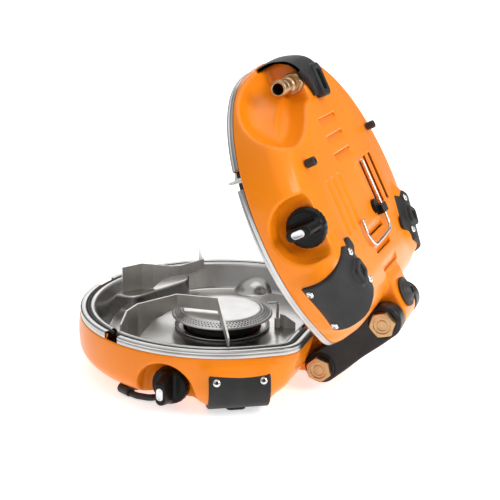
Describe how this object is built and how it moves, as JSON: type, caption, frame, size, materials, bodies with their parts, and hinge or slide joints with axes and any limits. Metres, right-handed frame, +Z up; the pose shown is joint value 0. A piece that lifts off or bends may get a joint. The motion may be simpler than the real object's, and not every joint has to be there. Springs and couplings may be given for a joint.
{
  "type": "camping stove",
  "caption": "Folding clamshell camping stove: two round orange steel halves with a burner each, joined by a pair of link arms with brass pivot bolts.",
  "frame": {"origin": "centre of the bounding box, on the surface the stove stands on", "axes": "+Z up, +X from the lower burner towards the hinge, -Y the front with the control knobs"},
  "size_m": [0.3168, 0.2768, 0.2891],
  "materials": {
    "orange_paint": "gloss",
    "trim_steel": "satin",
    "gasket_rubber": "matte",
    "tray_steel": "satin",
    "dark_steel": "satin",
    "brass": "satin",
    "copper": "satin",
    "aluminium_block": "satin",
    "burner_steel": "polished",
    "white_ceramic": "gloss",
    "support_steel": "satin",
    "screw_steel": "polished",
    "foot_rubber": "matte",
    "knob_plastic": "satin",
    "badge_metal": "satin",
    "cover_rubber": "textured",
    "wire_steel": "polished",
    "arm_rubber": "satin"
  },
  "bodies": {
    "lower_half": {"lower_back_cover": "cover_rubber", "lower_back_support": "support_steel", "lower_burner_cap": "burner_steel", "lower_burner_head": "burner_steel", "lower_burner_throat": "dark_steel", "lower_cover_screws": "screw_steel", "lower_drip_shield": "burner_steel", "lower_dust_cap": "foot_rubber", "lower_electrode": "burner_steel", "lower_electrode_guard": "support_steel", "lower_electrode_sleeve": "white_ceramic", "lower_end_cover": "cover_rubber", "lower_front_cover": "cover_rubber", "lower_front_support": "support_steel", "lower_gas_tube": "copper", "lower_gasket": "gasket_rubber", "lower_hinge_bolts": "brass", "lower_hinge_washers": "gasket_rubber", "lower_manifold_block": "aluminium_block", "lower_mixer_tube": "dark_steel", "lower_rim_trim": "trim_steel", "lower_rubber_feet": "foot_rubber", "lower_shell": "orange_paint", "lower_tray": "tray_steel", "lower_valve_body": "brass"},
    "lower_knob": {"lower_knob": "knob_plastic", "lower_knob_badge": "badge_metal", "lower_valve_stem": "brass"},
    "hinge_link": {"front_link_arm": "arm_rubber", "rear_link_arm": "arm_rubber"},
    "upper_half": {"upper_back_cover": "cover_rubber", "upper_back_support": "support_steel", "upper_burner_cap": "burner_steel", "upper_burner_head": "burner_steel", "upper_burner_throat": "dark_steel", "upper_cover_screws": "screw_steel", "upper_drip_shield": "burner_steel", "upper_electrode": "burner_steel", "upper_electrode_guard": "support_steel", "upper_electrode_sleeve": "white_ceramic", "upper_end_cover": "cover_rubber", "upper_front_cover": "cover_rubber", "upper_front_support": "support_steel", "upper_gas_tube": "copper", "upper_gasket": "gasket_rubber", "upper_hinge_bolts": "brass", "upper_hinge_washers": "gasket_rubber", "upper_manifold_block": "aluminium_block", "upper_mixer_tube": "dark_steel", "upper_port_fitting": "brass", "upper_rim_trim": "trim_steel", "upper_rubber_feet": "foot_rubber", "upper_shell": "orange_paint", "upper_tray": "tray_steel", "upper_valve_body": "brass", "upper_wire_bail": "wire_steel", "upper_wire_clip": "knob_plastic"},
    "upper_knob": {"upper_knob": "knob_plastic", "upper_knob_badge": "badge_metal", "upper_valve_stem": "brass"}
  },
  "joints": [
    {"name": "link_fold", "type": "hinge", "parent": "lower_half", "child": "hinge_link", "pos_m": [0.08475, 0.00244, 0.02295], "axis": [0, 1, 0], "range_deg": [-48.03, 41.97]},
    {"name": "upper_fold", "type": "hinge", "parent": "hinge_link", "child": "upper_half", "pos_m": [0.13954, 0.00244, 0.07224], "axis": [0, 1, 0], "range_deg": [-15.38, 74.62]},
    {"name": "lower_knob_turn", "type": "hinge", "parent": "lower_half", "child": "lower_knob", "pos_m": [-0.02449, -0.11956, 0.0204], "axis": [0, -1, 0], "range_deg": [0, 300]},
    {"name": "upper_knob_turn", "type": "hinge", "parent": "upper_half", "child": "upper_knob", "pos_m": [0.09293, -0.11956, 0.17106], "axis": [0, -1, 0], "range_deg": [0, 300]}
  ]
}
